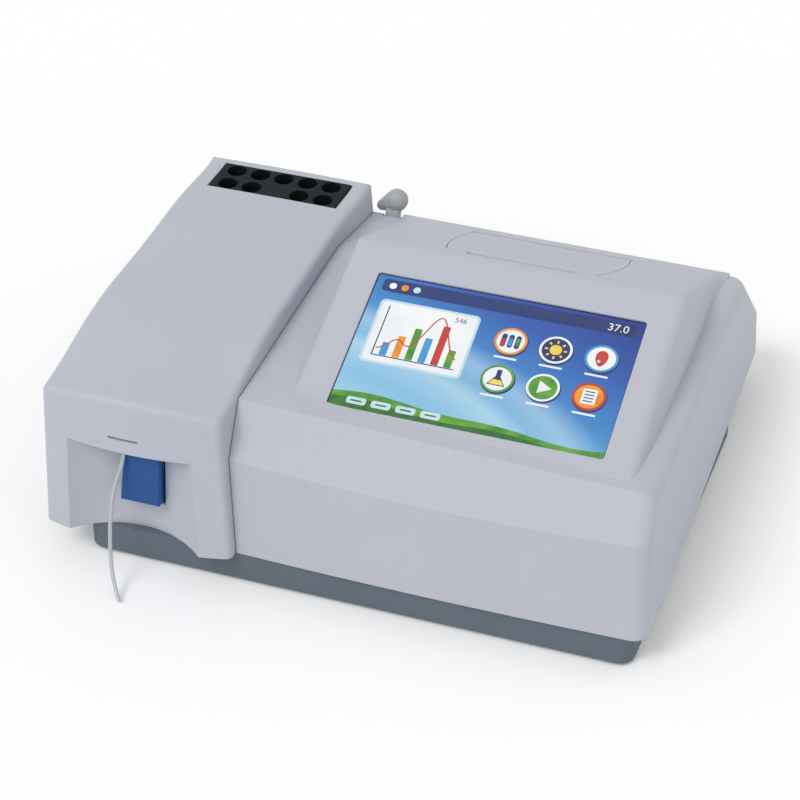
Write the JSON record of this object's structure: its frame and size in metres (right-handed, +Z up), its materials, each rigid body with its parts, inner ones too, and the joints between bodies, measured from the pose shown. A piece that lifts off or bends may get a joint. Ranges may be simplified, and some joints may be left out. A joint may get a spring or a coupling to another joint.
{
  "type": "benchtop chemistry analyzer",
  "caption": "Benchtop flow-cell chemistry analyzer with a colour touch display on a raised console, incubator wells, sample alcove and printer lid.",
  "frame": {"origin": "middle of the covers' footprint, on the bench under the rubber feet, without the aspiration tube", "axes": "+X to the right as seen from the front, +Z up, the front faces -Y"},
  "size_m": [0.3454, 0.3278, 0.1451],
  "materials": {
    "cover": "fine-grained moulded ABS, light grey",
    "base": "moulded plastic, slate grey",
    "rubber": "matte",
    "steel": "zinc plated",
    "glass": "clear, polished",
    "display": "lit colour display",
    "block": "black anodised",
    "blue": "satin moulded plastic",
    "tube": "translucent fluoropolymer",
    "bush": "satin",
    "grey": "satin moulded plastic",
    "black": "moulded",
    "alloy": "machined",
    "filters": "coated",
    "motor": "satin",
    "board": "solder-masked",
    "paper": "uncoated thermal paper",
    "roller": "matte"
  },
  "bodies": {
    "root": {"base_tray": "base", "button_bracket": "steel", "button_pin": "steel", "cell_holder": "alloy", "chassis_plate": "steel", "condenser_lens": "glass", "detector_board": "board", "display_frame": "steel", "display_panel": "display", "fan_frame": "black", "fan_guard": "steel", "filter_motor": "motor", "flow_cell": "glass", "halogen_lamp": "glass", "heater_plate": "block", "incubator_block": "block", "incubator_stand": "steel", "lamp_housing": "alloy", "lens_barrel": "alloy", "lever_pin": "steel", "lid_pin": "steel", "machine_screws": "steel", "main_cover": "cover", "mainboard": "board", "microswitch": "black", "module_cover": "cover", "optics_bench": "alloy", "paper_spindle": "black", "power_inlet": "black", "power_supply": "steel", "print_head": "black", "printer_frame": "black", "pump_body": "black", "pump_motor": "motor", "pump_tube": "tube", "rear_panel": "steel", "rubber_feet": "rubber", "serial_port": "alloy", "sipper_bush": "bush", "sipper_tube": "tube", "standoffs": "steel", "switch_housing": "black", "tear_bar": "steel", "touch_glass": "glass", "usb_ports": "alloy", "waste_fitting": "bush"},
    "button": {"sample_button": "blue"},
    "plunger": {"switch_plunger": "black"},
    "wheel": {"filter_wheel": "alloy", "interference_filters": "filters"},
    "pump_rotor": {"pump_rotor": "black"},
    "roller_1": {"pump_roller_1": "black"},
    "roller_2": {"pump_roller_2": "black"},
    "roller_3": {"pump_roller_3": "black"},
    "lever": {"pump_clamp_lever": "grey"},
    "rocker": {"power_switch": "black"},
    "fan": {"fan_rotor": "black"},
    "platen": {"platen_roller": "roller"},
    "paper": {"paper_roll": "paper"},
    "lid": {"printer_lid": "cover"}
  },
  "joints": [
    {"name": "button_press", "type": "hinge", "parent": "root", "child": "button", "pos_m": [-0.112, -0.129, 0.079], "axis": [1, 0, 0], "range_deg": [0, 7], "stiffness_Nm_per_rad": 0.1, "springref_deg": -11.46},
    {"name": "plunger_slide", "type": "slide", "parent": "root", "child": "plunger", "axis": [0, 1, 0], "range_m": [0, 0.0027]},
    {"name": "filter_wheel_turn", "type": "hinge", "parent": "root", "child": "wheel", "pos_m": [-0.105, 0.006, 0.066], "axis": [0, 1, 0], "continuous": true},
    {"name": "pump_turn", "type": "hinge", "parent": "root", "child": "pump_rotor", "pos_m": [-0.052, 0.082, 0.048], "axis": [1, 0, 0], "continuous": true},
    {"name": "roller_1_turn", "type": "hinge", "parent": "pump_rotor", "child": "roller_1", "pos_m": [-0.052, 0.0937, 0.048], "axis": [1, 0, 0], "continuous": true},
    {"name": "roller_2_turn", "type": "hinge", "parent": "pump_rotor", "child": "roller_2", "pos_m": [-0.052, 0.07615, 0.05813], "axis": [1, 0, 0], "continuous": true},
    {"name": "roller_3_turn", "type": "hinge", "parent": "pump_rotor", "child": "roller_3", "pos_m": [-0.052, 0.07615, 0.03787], "axis": [1, 0, 0], "continuous": true},
    {"name": "lever_lift", "type": "hinge", "parent": "root", "child": "lever", "pos_m": [-0.052, 0.097, 0.08], "axis": [-1, 0, 0], "range_deg": [0, 20]},
    {"name": "power_rocker", "type": "hinge", "parent": "root", "child": "rocker", "pos_m": [0.038, 0.123, 0.05], "axis": [-1, 0, 0], "range_deg": [0, 16]},
    {"name": "fan_spin", "type": "hinge", "parent": "root", "child": "fan", "pos_m": [0.121, 0.12, 0.05], "axis": [0, 1, 0], "continuous": true},
    {"name": "platen_turn", "type": "hinge", "parent": "root", "child": "platen", "pos_m": [0.054, 0.02364, 0.12542], "axis": [1, 0, 0], "continuous": true},
    {"name": "paper_turn", "type": "hinge", "parent": "root", "child": "paper", "pos_m": [0.054, 0.04775, 0.09659], "axis": [1, 0, 0], "continuous": true},
    {"name": "lid_open", "type": "hinge", "parent": "root", "child": "lid", "pos_m": [0.054, 0.08464, 0.10483], "axis": [-1, 0, 0], "range_deg": [0, 80]}
  ],
  "couplings": [
    {"joint": "plunger_slide", "follows": "button_press", "m_per_rad": 0.0213},
    {"joint": "platen_turn", "follows": "paper_turn", "ratio": -3.6},
    {"joint": "roller_1_turn", "follows": "pump_turn", "ratio": -3.5435},
    {"joint": "roller_2_turn", "follows": "pump_turn", "ratio": -3.5435},
    {"joint": "roller_3_turn", "follows": "pump_turn", "ratio": -3.5435}
  ]
}
